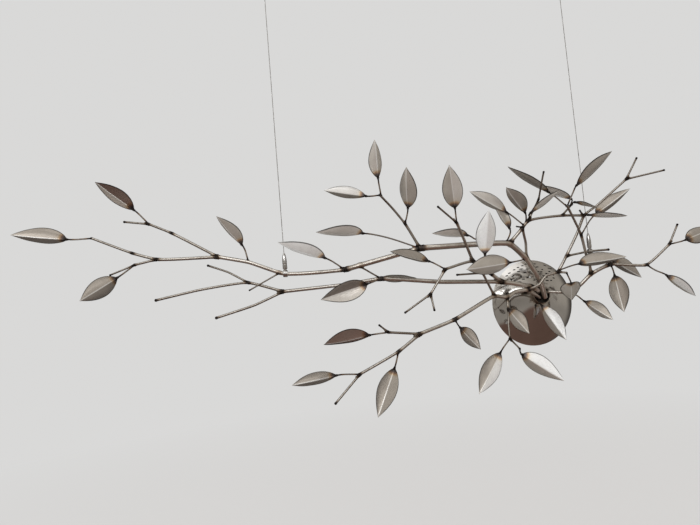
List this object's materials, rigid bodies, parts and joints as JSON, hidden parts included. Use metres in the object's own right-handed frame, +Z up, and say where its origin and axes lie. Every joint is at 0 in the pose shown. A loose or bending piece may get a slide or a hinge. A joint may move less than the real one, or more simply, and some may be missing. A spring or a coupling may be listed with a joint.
{
  "type": "metal wall sculpture",
  "caption": "Branch-shaped wall sculpture of welded stainless steel rods with folded sheet-metal leaves, carried by a domed wall plate and steadied by thin ceiling cables.",
  "frame": {"origin": "centre of the flat back of the wall plate, on the face of the wall", "axes": "+X to the right along the wall as seen from the room, +Y into the wall, +Z up; the branch stands out towards -Y"},
  "size_m": [1.4659, 0.1908, 0.9042],
  "materials": {
    "bough_steel": "ground and polished stainless bar, greyed at the bends, straw and brown heat tint at the welds",
    "leaf_steel": "polished stainless sheet with a fine speckle, brown heat tint along the folds and at the leaf bases",
    "dome_steel": "mirror-polished spun dome",
    "back_plate_steel": "mill finish",
    "socket_steel": "satin collar with a polished rim, brown heat tint at the welds",
    "fitting_steel": "satin chrome",
    "cable_steel": "bare stranded wire rope"
  },
  "bodies": {
    "root": {"back_plate": "back_plate_steel", "cable_left": "cable_steel", "cable_right": "cable_steel", "ceiling_fitting_left": "fitting_steel", "ceiling_fitting_right": "fitting_steel", "crossing_stem": "bough_steel", "crown": "bough_steel", "drop_twig": "bough_steel", "gripper_left": "fitting_steel", "gripper_right": "fitting_steel", "high_twig": "bough_steel", "leaf_arch_front": "leaf_steel", "leaf_arch_left": "leaf_steel", "leaf_arch_middle": "leaf_steel", "leaf_cable_left": "leaf_steel", "leaf_centre_right": "leaf_steel", "leaf_climb_left": "leaf_steel", "leaf_climb_right": "leaf_steel", "leaf_climb_top": "leaf_steel", "leaf_crown_back": "leaf_steel", "leaf_crown_end": "leaf_steel", "leaf_crown_left": "leaf_steel", "leaf_crown_top": "leaf_steel", "leaf_drop_left": "leaf_steel", "leaf_drop_right": "leaf_steel", "leaf_drop_small": "leaf_steel", "leaf_fork_high": "leaf_steel", "leaf_fork_low": "leaf_steel", "leaf_fork_middle": "leaf_steel", "leaf_high_left": "leaf_steel", "leaf_high_low": "leaf_steel", "leaf_high_top": "leaf_steel", "leaf_left_bottom": "leaf_steel", "leaf_left_top": "leaf_steel", "leaf_left_upright": "leaf_steel", "leaf_lower_small": "leaf_steel", "leaf_middle_back": "leaf_steel", "leaf_middle_front": "leaf_steel", "leaf_pin_front": "leaf_steel", "leaf_right_back": "leaf_steel", "leaf_right_end": "leaf_steel", "leaf_right_low_inner": "leaf_steel", "leaf_right_low_middle": "leaf_steel", "leaf_right_low_outer": "leaf_steel", "leaf_riser_front": "leaf_steel", "leaf_shield": "leaf_steel", "leaf_socket_low": "leaf_steel", "leaf_spur_back": "leaf_steel", "leaf_spur_top": "leaf_steel", "leaf_tail": "leaf_steel", "leaf_twig_left": "leaf_steel", "leaf_twig_right": "leaf_steel", "left_fork": "bough_steel", "lower_bough": "bough_steel", "middle_bough": "bough_steel", "right_bough": "bough_steel", "socket": "socket_steel", "spur": "bough_steel", "upper_bough": "bough_steel", "wall_dome": "dome_steel"}
  },
  "joints": []
}
